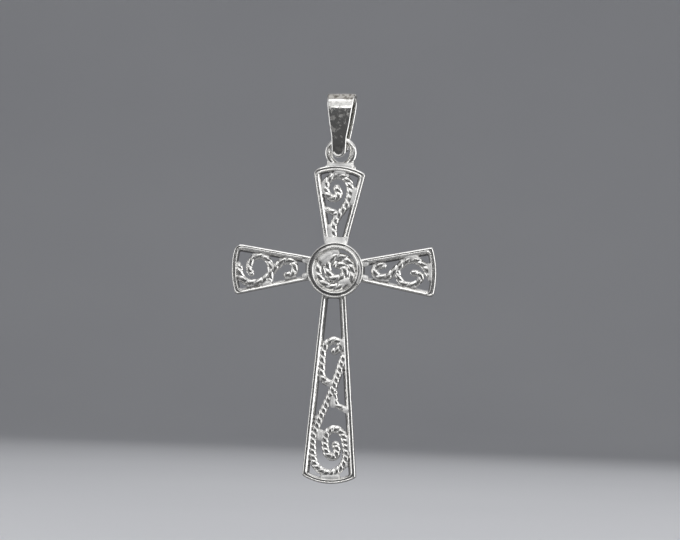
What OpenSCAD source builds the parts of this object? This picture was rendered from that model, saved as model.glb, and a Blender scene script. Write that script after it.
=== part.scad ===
// Filigree cross pendant with its bail, in millimetres.
// Z is up and the front faces -Y. The origin is where a chain runs through the top of the bail.
// The cross is soldered into one solid: a frame of bevelled bars, scrolls of twisted wire,
// a raised rim with a coiled rosette, and a loop that hangs in the folded bail.

/* [Cross] */
// Drop from the chain to the centre of the disc
disc_drop = 21.3; // [21:0.1:23]
// Width of the frame's bars
bar_w = 0.85; // [0.7:0.05:0.95]
// Thickness of the frame from front to back
frame_t = 1.3; // [1:0.1:1.8]
// Width of the bevel along the bars
bevel = 0.2; // [0.1:0.05:0.25]

/* [Centre disc] */
// Outer radius of the disc's rim
disc_r = 3.4; // [3.35:0.05:3.5]
// Width of the rim
rim_w = 0.55; // [0.5:0.05:0.6]
// How far the rim stands in front of the bars
rim_proud = 0.35; // [0.2:0.05:0.5]

/* [Twisted wire] */
// Length of wire in which its two strands turn once round each other
wire_lay = 1.7; // [1.4:0.1:2.4]
// Width of the waist between the strands, as a share of the wire's width
wire_waist = 0.6; // [0.5:0.05:0.9]
// How far the scrolls lie in front of the middle of the frame
scroll_proud = 0.1; // [0:0.05:0.2]

/* [Top loop] */
// Radius of the loop at the middle of its wire
loop_r = 1.6; // [1.58:0.02:1.66]
// Diameter of the loop's wire
loop_wire = 0.78; // [0.7:0.02:0.8]

/* [Bail] */
// Width of the bail at its fold
bail_w = 3.6; // [3.2:0.1:4.2]
// Depth of the bail at its fold
bail_depth = 3; // [2.9:0.1:3.4]
// Thickness of the bail's strip
bail_t = 0.42; // [0.36:0.02:0.46]
// How far the bail is turned about the vertical
bail_turn = -8; // [-10:1:10]

/* [Hidden] */
SILVER = [0.78, 0.78, 0.77];

// Frame: one row for each arm. DIR is the way it points, and U is the distance from the
// disc's centre along it. The widths lie left and right of its axis, looking outwards.
DIR = 0;
NECK_L = 1;
NECK_R = 2;
FOOT_L_U = 3;
FOOT_L = 4;
FOOT_R_U = 5;
FOOT_R = 6;
CROWN_U = 7;
ROUND_L = 8;
ROUND_R = 9;
WINDOW_U = 10;
// What the left, right and end bars are wider or narrower than bar_w.
EXTRA_L = 11;
EXTRA_R = 12;
EXTRA_END = 13;
ARMS = [
    [0, 1.42, 1.25, 12.05, 3.27, 12.3, 3.02, 12.62, 0.3, 0.5, 3.65, 0.02, -0.15, -0.05],
    [90, 1.4, 1.25, 12.5, 3.2, 12.15, 3.4, 13.15, 0.6, 0.4, 3.85, 0.05, 0, -0.05],
    [180, 1.2, 1.6, 12.4, 3.42, 12.6, 3.02, 13.02, 0.35, 0.9, 3.75, -0.2, 0, -0.1],
    [270, 1.42, 1.6, 25.65, 3.45, 25.55, 3.27, 26.5, 0.35, 0.4, 3.5, 0.05, 0, -0.15],
];
neck_u = 2.9;
neck_round = 0.3;
window_round = 0.12;
crown_steps = 6;
corner_steps = 3;

// Scrolls: each wire has its width, how far it is proud, and a row for each of its bends,
// with the place X and Z from the disc's centre and the direction that the wire takes there.
WIRE_W = 0;
WIRE_PROUD = 1;
WIRE_BENDS = 2;
BEND_DIR = 2;
rosette_proud = 0.4;
TOP_WIRES = [
    [0.88, scroll_proud, [
        [-0.35, 3.2, 90], [-0.42, 5.2, 90], [0.35, 7.2, 52], [1.35, 8.9, 72], [1.55, 10.1, 92],
        [0, 11.95, 180], [-1.6, 10.5, 268], [-0.5, 9.05, 360], [0.1, 9.6, 450], [-0.5, 10.65, 490]]],
    [0.75, scroll_proud, [[-1.6, 7.6, 355], [-0.7, 7.35, 335], [0.1, 6.9, 325]]],
];
LEFT_WIRES = [
    [0.85, scroll_proud, [
        [-12.1, 0.45, 268], [-11.95, -0.75, 285], [-10.5, -1.9, 358], [-9.2, -1.65, 385],
        [-8, -0.45, 412], [-7.1, 0.6, 408], [-5.9, 1.05, 358], [-5.1, 0.15, 270],
        [-5.6, -0.75, 190], [-6.35, -0.45, 110]]],
    [0.75, scroll_proud, [
        [-10.15, -0.8, 170], [-10.85, -0.1, 95], [-10.5, 1.05, 55], [-9.3, 1.5, -5],
        [-8.3, 0.7, -60], [-8.1, -0.3, -88], [-8.2, -1.9, -92]]],
];
RIGHT_WIRES = [
    [0.85, scroll_proud, [
        [6.15, 0.4, 95], [5.6, 0.78, 180], [4.9, 0.1, 268], [5.8, -0.7, 358], [6.9, -0.35, 408],
        [8.1, 0.85, 405], [9.6, 1.62, 364], [10.85, 1.05, 326], [11.55, 0.15, 295],
        [11.8, -0.7, 280]]],
    [0.75, scroll_proud, [
        [7.65, 0.45, 275], [7.85, -0.5, 288], [9, -1.55, 355], [10.2, -1.25, 400],
        [10.7, -0.5, 455], [10.1, -0.05, 535], [9.3, -0.15, 570]]],
];
BOTTOM_WIRES = [
    [0.85, scroll_proud, [
        [-0.2, -10.3, 30], [0.8, -9.8, 40], [1, -9.3, 100], [0.2, -8.75, 180], [-1.05, -9.7, 250],
        [-1.25, -11, 270], [-1.3, -12.7, 270], [-0.85, -13.75, 318], [0.2, -14.15, 360]]],
    [0.88, scroll_proud, [
        [1.6, -10.3, 250], [0.85, -12.7, 254], [0.05, -15.2, 251], [-1.1, -18, 248],
        [-1.9, -20.3, 256], [-2.05, -22.2, 273], [-1.5, -24.4, 310], [0.1, -25.2, 360],
        [1.75, -24.2, 415], [2.1, -22.2, 455]]],
    [0.86, scroll_proud, [
        [2.12, -22.36, 94], [0.6, -19.75, 180], [-0.55, -21.3, 275], [0.45, -23.2, 355],
        [1, -22.3, 450], [0.45, -21.3, 490]]],
    [0.7, scroll_proud, [[0.4, -14.8, 275], [0.6, -16.4, 285], [2.2, -17.3, 345]]],
];
ROSETTE = [
    [0.9, rosette_proud, [
        [0.1, 2.35, 185], [-2.25, 0, 270], [0.1, -2.3, 360], [2.2, 0, 450], [0.5, 1.85, 540],
        [-1.1, 0.3, 630]]],
    [0.86, rosette_proud, [
        [-1.1, 0.43, 269], [0.1, -1.1, 360], [1.2, 0, 450], [0.5, 0.72, 540], [-0.1, 0.35, 590]]],
];
ring_pitch = 0.28;
ring_sides = 6;
wire_tip = 0.12;
bend_step = 0.01;
tip_share = 0.6;

// Solder where wires meet each other or a bar: its two ends X1, Z1 and X2, Z2, and its radius.
X1 = 0;
Z1 = 1;
X2 = 2;
Z2 = 3;
BEAD_R = 4;
SOLDER = [
    [-0.9, 4, -0.85, 5, 0.38], [1.95, 8.9, 2.1, 9.8, 0.35], [-0.2, 12.3, 0.5, 12.3, 0.4],
    [-7.7, 0.15, -8.1, 0.4, 0.35], [-8.9, -1.95, -8.2, -1.7, 0.42], [7.4, 0.2, 7.8, 0.4, 0.35],
    [11.75, 0.9, 11.9, -0.4, 0.4], [8.9, 2, 10, 1.95, 0.35], [1.2, -9, 1.3, -9.4, 0.4],
    [0.15, -15.8, 0.3, -16.8, 0.42], [-1.1, -20.3, -1.15, -20.8, 0.42], [-0.4, -25.6, 1, -25.5, 0.35],
    [2.3, -20.8, 2.5, -22.2, 0.35], [-0.4, -14.05, 0, -14.2, 0.4],
];
DISC_SOLDER = [
    [-1.7, 1.7, -0.8, 2, 0.42], [1.2, -1.4, 1.4, -1.7, 0.42], [-2.5, -1, -2.3, -1.5, 0.35],
    [2.3, -0.4, 2.8, -0.45, 0.25], [0, -2.6, 0.7, -2.55, 0.35],
];
bead_sides = 8;

rim_sides = 40;
rim_bevel = 0.14;
rim_behind = 0.05;
loop_sides = 28;
loop_wire_sides = 12;

// Top loop, from the disc's centre.
disc_x = -0.15;
loop_x = 0.17;
loop_u = 14.82;
foot_t = 0.72;
LOOP_FOOT = [[1.95, 12.6], [1.95, 13], [1.65, 13.3], [1.65, 13.7]];

// Bail, from the chain line. The strip's half width is given at heights along it.
hinge_z = loop_u + loop_r - disc_drop;
bail_top = 0.99;
seat_r = 1;
seat_slack = 0.08;
seat_z = hinge_z - seat_slack;
tongue_w = 0.75;
tongue_steps = 12;
tongue_z = -6.89;
STRIP = [
    [bail_w / 2 + 0.15, bail_top + 1], [bail_w / 2, bail_top], [1.46, -1.3], [0.93, -4.1],
    [0.78, -5.1], [tongue_w, tongue_z + tongue_w],
];

// Plane geometry

function unit(v) = v / norm(v);
function left_of(v) = [-v[1], v[0]];
function wedge(a, b) = a[0] * b[1] - a[1] * b[0];
function polar(r, a) = r * [cos(a), sin(a)];
// The point where the line a-b meets the line c-e, each moved d to its left.
function meet(a, b, c, e, d) =
    let (
        p = a + d * left_of(unit(b - a)),
        q = c + d * left_of(unit(e - c))
    ) p + (b - a) * wedge(q - p, e - c) / wedge(b - a, e - c);
// The circle through three points, as its centre and radius.
function circle_through(a, b, c) =
    let (
        m = (a + b) / 2,
        n = (b + c) / 2,
        o = meet(m, m + left_of(b - a), n, n + left_of(c - b), 0)
    ) [o, norm(a - o)];
// The far point where the ray from p along the unit vector v leaves a circle.
function leave(p, v, o, r) =
    let (w = p - o, k = w * v) p + v * (sqrt(k * k - w * w + r * r) - k);
// A corner at b between lines from a and to c, rounded to radius r.
function rounded(a, b, c, r) =
    let (
        o = meet(a, b, b, c, r),
        p = o - r * left_of(unit(b - a)),
        turn = atan2(wedge(b - a, c - b), (b - a) * (c - b)),
        start = atan2(p[1] - o[1], p[0] - o[0])
    ) [for (i = [0:corner_steps]) o + polar(r, start + turn * i / corner_steps)];
// Points down the right side of an outline, each half width and height, joined to the left side.
function mirrored(half, tip = []) =
    concat(half, tip, [for (i = [len(half) - 1:-1:0]) [-half[i][0], half[i][1]]]);
// A loop of points moved d to the inside.
function inset(loop, d) =
    [for (i = [0:len(loop) - 1])
        let (n = len(loop), a = loop[(i + n - 1) % n], b = loop[i], c = loop[(i + 1) % n])
        meet(a, b, b, c, d)];

// Frame

// The outline of an arm from u0 on, with its left, right and end sides moved inwards,
// anticlockwise seen from the front.
function arm_loop(arm, d_l, d_r, d_end, u0, near_r, round_r, round_l) =
    let (
        nr = [neck_u, -arm[NECK_R]],
        fr = [arm[FOOT_R_U], -arm[FOOT_R]],
        nl = [neck_u, arm[NECK_L]],
        fl = [arm[FOOT_L_U], arm[FOOT_L]],
        crown = circle_through(fr, [arm[CROWN_U], (arm[FOOT_L] - arm[FOOT_R]) / 2], fl),
        o = crown[0],
        r = crown[1] - d_end,
        out_r = unit(fr - nr),
        out_l = unit(fl - nl),
        start_r = nr + d_r * left_of(out_r),
        start_l = nl - d_l * left_of(out_l),
        near_right = start_r + out_r * (u0 - start_r[0]) / out_r[0],
        near_left = start_l + out_l * (u0 - start_l[0]) / out_l[0],
        far_right = leave(near_right, out_r, o, r),
        far_left = leave(near_left, out_l, o, r),
        a0 = atan2(far_right[1] - o[1], far_right[0] - o[0]),
        a1 = atan2(far_left[1] - o[1], far_left[0] - o[0]),
        top = [for (i = [1:crown_steps - 1]) o + polar(r, a0 + (a1 - a0) * i / crown_steps)]
    ) concat(
        rounded(near_left, near_right, far_right, near_r),
        rounded(near_right, far_right, top[0], round_r),
        top,
        rounded(top[crown_steps - 2], far_left, near_left, round_l),
        rounded(far_left, near_left, near_right, near_r)
    );

// Loops of one size, each joined to the next. The last joins the first, or else both are capped.
module skin(loops, ring) {
    n = len(loops[0]);
    m = len(loops);
    sides = [
        for (j = [0:m - (ring ? 1 : 2)], i = [0:n - 1])
            let (k = (j + 1) % m, i1 = (i + 1) % n)
            [j * n + i, j * n + i1, k * n + i1, k * n + i]
    ];
    caps = ring ? [] : [
        [for (i = [n - 1:-1:0]) i],
        [for (i = [0:n - 1]) (m - 1) * n + i]
    ];
    polyhedron(points = [for (l = loops) each l], faces = concat(sides, caps));
}

module arm_frame(arm) {
    outer = arm_loop(arm, 0, 0, 0, neck_u, neck_round, arm[ROUND_R], arm[ROUND_L]);
    window = arm_loop(
        arm, bar_w + arm[EXTRA_L], bar_w + arm[EXTRA_R], bar_w + arm[EXTRA_END],
        arm[WINDOW_U], window_round, window_round, window_round
    );
    half = frame_t / 2;
    sections = [
        [inset(outer, bevel), half], [outer, half - bevel],
        [outer, bevel - half], [inset(outer, bevel), -half],
        [inset(window, -bevel), -half], [window, bevel - half],
        [window, half - bevel], [inset(window, -bevel), half]
    ];
    rotate([90, 0, 0])
        rotate(arm[DIR])
            skin([for (s = sections) [for (p = s[0]) [p[0], p[1], s[1]]]], true);
}

// Twisted wire

// The bends of a wire as stretches, each with the length of wire before it.
function stretches(bends) = [
    for (i = 0, s = 0; i < len(bends) - 1; s = s + arc_length(bends[i], bends[i + 1]), i = i + 1)
        [bends[i], bends[i + 1], s]
];
function place(bend) = [bend[0], bend[1]];
function arc_length(a, b) =
    let (half = abs(b[BEND_DIR] - a[BEND_DIR]) / 2, chord = norm(place(b) - place(a)))
    half < 1 ? chord : chord * half * PI / 180 / sin(half);
// A smooth curve between two bends, at t from 0 to 1.
function bent(a, b, t) =
    let (
        p = place(a),
        q = place(b),
        k = norm(q - p) / (3 * pow(cos((b[BEND_DIR] - a[BEND_DIR]) / 4), 2)),
        p1 = p + polar(k, a[BEND_DIR]),
        q1 = q - polar(k, b[BEND_DIR]),
        u = 1 - t
    ) u * u * u * p + 3 * u * u * t * p1 + 3 * u * t * t * q1 + t * t * t * q;
function bent_dir(a, b, t) =
    let (d = bent(a, b, t + bend_step) - bent(a, b, t - bend_step)) atan2(d[1], d[0]);
// Stations along a wire, as place, direction and the length of wire so far.
function stations(bends) = [
    for (st = stretches(bends))
        let (l = arc_length(st[0], st[1]), n = max(1, round(l / ring_pitch)))
        for (i = [0:n - (st[1] == bends[len(bends) - 1] ? 0 : 1)])
            let (t = i / n) [bent(st[0], st[1], t), bent_dir(st[0], st[1], t), st[2] + l * t]
];
// One ring of the wire's waisted section, turned by its lay.
function wire_ring(at, dir, s, w, proud) = [
    for (i = [0:ring_sides - 1])
        let (
            a = -360 * i / ring_sides,
            r = w / 2 * (1 - (1 - wire_waist) * pow(sin(a), 2)),
            b = a - 360 * s / wire_lay,
            side = r * cos(b)
        ) [at[0] - side * sin(dir), at[1] + side * cos(dir), proud + r * sin(b)]
];

module twisted_wire(wire) {
    w = wire[WIRE_W];
    path = stations(wire[WIRE_BENDS]);
    last = path[len(path) - 1];
    tips = [
        [path[0][0] - polar(wire_tip, path[0][1]), path[0][1], path[0][2], tip_share * w],
        [last[0] + polar(wire_tip, last[1]), last[1], last[2], tip_share * w]
    ];
    body = [for (p = path) [p[0], p[1], p[2], w]];
    rings = concat([tips[0]], body, [tips[1]]);
    rotate([90, 0, 0])
        skin([for (r = rings) wire_ring(r[0], r[1], r[2], r[3], wire[WIRE_PROUD])], false);
}

module solder(beads, proud) {
    for (bead = beads)
        hull() {
            translate([bead[X1], -proud, bead[Z1]])
                sphere(r = bead[BEAD_R], $fn = bead_sides);
            translate([bead[X2], -proud, bead[Z2]])
                sphere(r = bead[BEAD_R], $fn = bead_sides);
        }
}

// Disc and loop

module disc_rim() {
    front = frame_t / 2 + rim_proud;
    back = -frame_t / 2 - rim_behind;
    inner = disc_r - rim_w;
    c = rim_bevel;
    rotate([90, 0, 0])
        rotate_extrude($fn = rim_sides)
            polygon([
                [inner, back + c], [inner + c, back], [disc_r - c, back], [disc_r, back + c],
                [disc_r, front - c], [disc_r - c, front], [inner + c, front], [inner, front - c]
            ]);
}

module top_loop() {
    translate([loop_x, 0, loop_u])
        rotate([90, 0, 0])
            rotate_extrude($fn = loop_sides)
                translate([loop_r, 0])
                    circle(d = loop_wire, $fn = loop_wire_sides);
    translate([loop_x, 0, 0])
        rotate([90, 0, 0])
            linear_extrude(height = foot_t, center = true)
                difference() {
                    polygon(mirrored(LOOP_FOOT));
                    translate([0, loop_u])
                        circle(r = loop_r, $fn = loop_sides);
                }
}

// Sub-parts

module cross() {
    color(SILVER)
        translate([disc_x, 0, -disc_drop]) {
            for (arm = ARMS)
                arm_frame(arm);
            for (wire = concat(TOP_WIRES, LEFT_WIRES, RIGHT_WIRES, BOTTOM_WIRES, ROSETTE))
                twisted_wire(wire);
            solder(SOLDER, scroll_proud);
            solder(DISC_SOLDER, rosette_proud);
            disc_rim();
            top_loop();
        }
}

// The fold's side view, or its hollow, with d between them.
module fold_side(d) {
    fold_r = bail_depth / 2 - d;
    bottom_r = seat_r + bail_t - d;
    translate([0, bail_top - bail_depth / 2])
        circle(r = fold_r, $fn = 48);
    translate([0, seat_z])
        circle(r = bottom_r, $fn = 48);
    polygon([
        [-fold_r, bail_top - bail_depth / 2], [-bottom_r, seat_z],
        [bottom_r, seat_z], [fold_r, bail_top - bail_depth / 2]
    ]);
}

module bail() {
    color(SILVER)
        rotate(bail_turn)
            intersection() {
                rotate([90, 0, 90])
                    linear_extrude(height = bail_w + 2, center = true)
                        difference() {
                            union() {
                                fold_side(0);
                                translate([-bail_t, tongue_z - 1])
                                    square([2 * bail_t, seat_z - tongue_z]);
                            }
                            fold_side(bail_t);
                        }
                rotate([90, 0, 0])
                    linear_extrude(height = bail_depth + 2, center = true)
                        polygon(mirrored(STRIP, [
                            for (i = [1:tongue_steps - 1])
                                [0, tongue_z + tongue_w] + polar(tongue_w, -180 * i / tongue_steps)
                        ]));
            }
}

bail();
cross();
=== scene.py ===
"""Filigree cross pendant with its bail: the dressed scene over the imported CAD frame.

A piece is built in millimetres and its finished mesh is in metres. The cross is laid out from
the disc's centre and the bail from the chain line. X is to the right, Y to the back and Z up.
A place in the plane of the cross is a complex number, X + Zj.
"""

from __future__ import annotations

import cmath
import logging
import math
from collections.abc import Callable
from dataclasses import asdict, dataclass, field
from enum import Enum
from functools import partial

import bmesh
import bpy
import numpy as np
from mathutils import Matrix, Vector, kdtree, noise

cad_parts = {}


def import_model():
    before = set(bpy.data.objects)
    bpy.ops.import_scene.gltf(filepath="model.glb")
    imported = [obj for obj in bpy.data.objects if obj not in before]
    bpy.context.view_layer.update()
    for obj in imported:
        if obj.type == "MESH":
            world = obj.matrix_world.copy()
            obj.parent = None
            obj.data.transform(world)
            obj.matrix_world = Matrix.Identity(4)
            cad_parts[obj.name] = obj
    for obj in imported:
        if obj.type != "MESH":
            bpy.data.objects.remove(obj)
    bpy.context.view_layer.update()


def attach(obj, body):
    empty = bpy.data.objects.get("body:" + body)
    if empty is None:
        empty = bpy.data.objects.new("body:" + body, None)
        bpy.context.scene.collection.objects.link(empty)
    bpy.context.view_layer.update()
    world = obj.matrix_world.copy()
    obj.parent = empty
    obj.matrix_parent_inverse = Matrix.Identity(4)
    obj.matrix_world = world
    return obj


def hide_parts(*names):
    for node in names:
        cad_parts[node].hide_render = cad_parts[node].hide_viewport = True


LOG = logging.getLogger("pendant")
MM = 0.001
# The disc's centre, in millimetres from the chain line.
DISC = Vector((-0.15, 0.0, -21.3))
# The photograph's width and height, which the camera is set for.
FRAME_PX = (680, 540)
# Vertices of a made mesh that are closer than this are one.
WELD_MM = 1e-5

MATH = "ShaderNodeMath"
VECTOR_MATH = "ShaderNodeVectorMath"
MIX = "ShaderNodeMix"
REMAP = "ShaderNodeMapRange"
STORE = "GeometryNodeStoreNamedAttribute"

# A wire's place X and Z from the disc's centre, and the direction it takes there in degrees.
Bend = tuple[float, float, float]
# add_node with its tree already given.
Adder = Callable[..., bpy.types.Node]


class Arm(Enum):
    """The arms of the cross, by the direction each one points in, in degrees."""

    RIGHT = 0
    TOP = 90
    LEFT = 180
    BOTTOM = 270


class Body(Enum):
    """The moving bodies of the pendant."""

    CROSS = "cross"
    BAIL = "bail"


# Nodes and colours


def linear(colour: str) -> tuple[float, float, float, float]:
    """Turns a colour to linear light.

    Args:
        colour: the sRGB colour as six hex digits.

    Returns:
        Red, green, blue and an alpha of 1.
    """
    values = [int(colour[i : i + 2], 16) / 255 for i in (0, 2, 4)]
    red, green, blue = (
        v / 12.92 if v <= 0.04045 else ((v + 0.055) / 1.055) ** 2.4 for v in values
    )
    return red, green, blue, 1.0


def add_node(
    tree: bpy.types.NodeTree, kind: str, inputs: dict | None = None, **settings: object
) -> bpy.types.Node:
    """Adds a node with its settings and links.

    Args:
        tree: the tree that gets the node.
        kind: the node's type.
        inputs: for an input's name or number, its value or what it is linked to, which is a
            socket, or a node for its first output.
        settings: the node's own properties.

    Returns:
        The new node.
    """
    node = tree.nodes.new(kind)
    for name, value in settings.items():
        setattr(node, name, value)
    for key, value in (inputs or {}).items():
        source = value.outputs[0] if isinstance(value, bpy.types.Node) else value
        if isinstance(source, bpy.types.NodeSocket):
            tree.links.new(source, node.inputs[key])
        else:
            node.inputs[key].default_value = source
    return node


def empty_nodes(owner: bpy.types.Material | bpy.types.World) -> Adder:
    """Empties the tree of a material or world.

    Args:
        owner: the material or world.

    Returns:
        add_node for its tree.
    """
    owner.use_nodes = True
    owner.node_tree.nodes.clear()
    return partial(add_node, owner.node_tree)


# Meshes


def sides_of(loop: list) -> list[tuple]:
    """The two ends of each side of a closed loop."""
    return list(zip(loop, loop[1:] + loop[:1]))


def mesh_of(name: str, points: list, faces: list) -> bpy.types.Mesh:
    """Makes a closed mesh whose faces point outwards.

    Args:
        name: the mesh's name.
        points: its vertices.
        faces: the vertex numbers of each face.

    Returns:
        The mesh.
    """
    mesh = bpy.data.meshes.new(name)
    mesh.from_pydata([tuple(p) for p in points], [], faces)
    shape = bmesh.new()
    shape.from_mesh(mesh)
    bmesh.ops.remove_doubles(shape, verts=shape.verts, dist=WELD_MM)
    bmesh.ops.recalc_face_normals(shape, faces=shape.faces)
    shape.to_mesh(mesh)
    shape.free()
    return mesh


def skin(name: str, loops: list[list], ring: bool) -> bpy.types.Mesh:
    """Joins loops of points, each to the next.

    Args:
        name: the mesh's name.
        loops: the loops, all of one size.
        ring: whether the last loop joins the first, or else both ends are capped.

    Returns:
        The closed mesh.
    """
    size = len(loops[0])
    rows = [list(range(j * size, (j + 1) * size)) for j in range(len(loops))]
    pairs = sides_of(rows) if ring else sides_of(rows)[:-1]
    faces = [
        (a, b, d, c)
        for row, after in pairs
        for (a, b), (c, d) in zip(sides_of(row), sides_of(after))
    ]
    if not ring:
        faces += [rows[0], rows[-1]]
    return mesh_of(name, [p for loop in loops for p in loop], faces)


def lathe(name: str, profile: list[complex], steps: int) -> bpy.types.Mesh:
    """Turns a closed profile round the Y axis.

    Args:
        name: the mesh's name.
        profile: its points, as radius and height towards the front.
        steps: the number of steps round the axis.

    Returns:
        The closed mesh.
    """
    turns = [2 * math.pi * i / steps for i in range(steps)]
    loops = [
        [(p.real * math.cos(a), -p.imag, p.real * math.sin(a)) for p in profile] for a in turns
    ]
    return skin(name, loops, True)


def joined(name: str, parts: list[bpy.types.Mesh]) -> bpy.types.Mesh:
    """Puts several meshes into one, without merging them.

    Args:
        name: the new mesh's name.
        parts: the meshes, which are used up.

    Returns:
        The new mesh.
    """
    shape = bmesh.new()
    for part in parts:
        shape.from_mesh(part)
        bpy.data.meshes.remove(part)
    mesh = bpy.data.meshes.new(name)
    shape.to_mesh(mesh)
    shape.free()
    return mesh


def scratch_object(name: str, data: bpy.types.ID) -> bpy.types.Object:
    """Makes an object in the scene.

    Args:
        name: its name.
        data: its mesh, curve, light or camera.

    Returns:
        The object.
    """
    obj = bpy.data.objects.new(name, data)
    bpy.context.scene.collection.objects.link(obj)
    return obj


def evaluated(obj: bpy.types.Object) -> bpy.types.Mesh:
    """Bakes an object's modifiers.

    Args:
        obj: the object, which loses its modifiers.

    Returns:
        A new plain mesh.
    """
    bpy.context.view_layer.update()
    depsgraph = bpy.context.evaluated_depsgraph_get()
    mesh = bpy.data.meshes.new_from_object(obj.evaluated_get(depsgraph))
    obj.modifiers.clear()
    return mesh


def rows_of(mesh: bpy.types.Mesh, what: str = "co") -> np.ndarray:
    """Reads the places or the normals of a mesh's vertices.

    Args:
        mesh: the mesh.
        what: co for the places, or normal.

    Returns:
        One row of X, Y and Z for each vertex.
    """
    rows = np.empty(len(mesh.vertices) * 3, np.float32)
    mesh.vertices.foreach_get(what, rows)
    return rows.reshape(-1, 3)


def store(mesh: bpy.types.Mesh, name: str, values: np.ndarray) -> None:
    """Stores a value for each vertex, which the material reads."""
    layer = mesh.attributes.new(name, "FLOAT", "POINT")
    layer.data.foreach_set("value", values.astype(np.float32))


def hollows(mesh: bpy.types.Mesh, rounds: int) -> np.ndarray:
    """Measures how far each vertex lies below its smoothed surroundings.

    Args:
        mesh: a mesh with edges of about one length.
        rounds: how often the surroundings are smoothed.

    Returns:
        One depth for each vertex, above 0 in a recess and below 0 on a ridge.
    """
    count = len(mesh.vertices)
    places = rows_of(mesh)
    edges = np.empty(len(mesh.edges) * 2, np.int32)
    mesh.edges.foreach_get("vertices", edges)
    ends = np.concatenate([edges[0::2], edges[1::2]])
    others = np.concatenate([edges[1::2], edges[0::2]])
    degree = np.maximum(np.bincount(ends, minlength=count), 1)
    smooth = places.astype(float)
    for _ in range(rounds):
        for axis in range(3):
            total = np.bincount(ends, weights=smooth[others, axis], minlength=count)
            smooth[:, axis] = (smooth[:, axis] + total / degree) / 2
    return ((smooth - places) * rows_of(mesh, "normal")).sum(axis=1)


def tree_of(places: list[Vector]) -> kdtree.KDTree:
    """Sorts places into a tree that finds the nearest one.

    Args:
        places: the places.

    Returns:
        The tree, with each place's number in the list.
    """
    tree = kdtree.KDTree(len(places))
    for index, place in enumerate(places):
        tree.insert(place, index)
    tree.balance()
    return tree


# Plane geometry


def unit(v: complex) -> complex:
    """A direction with a length of 1."""
    return v / abs(v)


def wedge(a: complex, b: complex) -> float:
    """The cross product of two plane vectors."""
    return (a.conjugate() * b).imag


def dot(a: complex, b: complex) -> float:
    """The dot product of two plane vectors."""
    return (a.conjugate() * b).real


def polar(length: float, degrees: float) -> complex:
    """A plane vector by its length and direction."""
    return cmath.rect(length, math.radians(degrees))


def meet(a: complex, b: complex, c: complex, e: complex, d: float = 0.0) -> complex:
    """Finds where the line a-b meets the line c-e.

    Args:
        a: a point on the first line.
        b: a further point on it.
        c: a point on the second line.
        e: a further point on it.
        d: how far both lines are first moved to their left.

    Returns:
        The point.
    """
    p = a + d * 1j * unit(b - a)
    q = c + d * 1j * unit(e - c)
    return p + (b - a) * wedge(q - p, e - c) / wedge(b - a, e - c)


def circle_through(a: complex, b: complex, c: complex) -> tuple[complex, float]:
    """Finds the circle through three points.

    Args:
        a: the first point.
        b: the second point.
        c: the third point.

    Returns:
        Its centre and radius.
    """
    m, n = (a + b) / 2, (b + c) / 2
    centre = meet(m, m + 1j * (b - a), n, n + 1j * (c - b))
    return centre, abs(a - centre)


def leave(p: complex, v: complex, centre: complex, radius: float) -> complex:
    """Finds the far point where a ray leaves a circle.

    Args:
        p: the ray's start.
        v: its direction, of length 1.
        centre: the circle's centre.
        radius: the circle's radius.

    Returns:
        The point.
    """
    w = p - centre
    k = dot(w, v)
    return p + v * (math.sqrt(k * k - dot(w, w) + radius * radius) - k)


def rounded(a: complex, b: complex, c: complex, radius: float, steps: int) -> list[complex]:
    """Rounds the corner at b between the lines from a and to c.

    Args:
        a: a point on the line to the corner.
        b: the corner.
        c: a point on the line from it.
        radius: the corner's radius.
        steps: the number of steps round the corner.

    Returns:
        The points of the arc.
    """
    centre = meet(a, b, b, c, radius)
    start = -radius * 1j * unit(b - a)
    turn = cmath.phase((c - b) / (b - a))
    return [centre + start * cmath.exp(1j * turn * i / steps) for i in range(steps + 1)]


def inset(loop: list[complex], d: float) -> list[complex]:
    """A loop of points moved to its inside."""
    around = zip(loop[-1:] + loop[:-1], loop, loop[1:] + loop[:1])
    return [meet(a, b, b, c, d) for a, b, c in around]


def cuts_of(loop: list[complex], step: float) -> list[int]:
    """Into how many lengths of about one step each side of a loop is cut."""
    return [max(1, round(abs(b - a) / step)) for a, b in sides_of(loop)]


def densified(loop: list[complex], cuts: list[int]) -> list[complex]:
    """A loop with each side cut into a number of equal lengths."""
    return [a + (b - a) * i / n for (a, b), n in zip(sides_of(loop), cuts) for i in range(n)]


# Finishes


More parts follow.
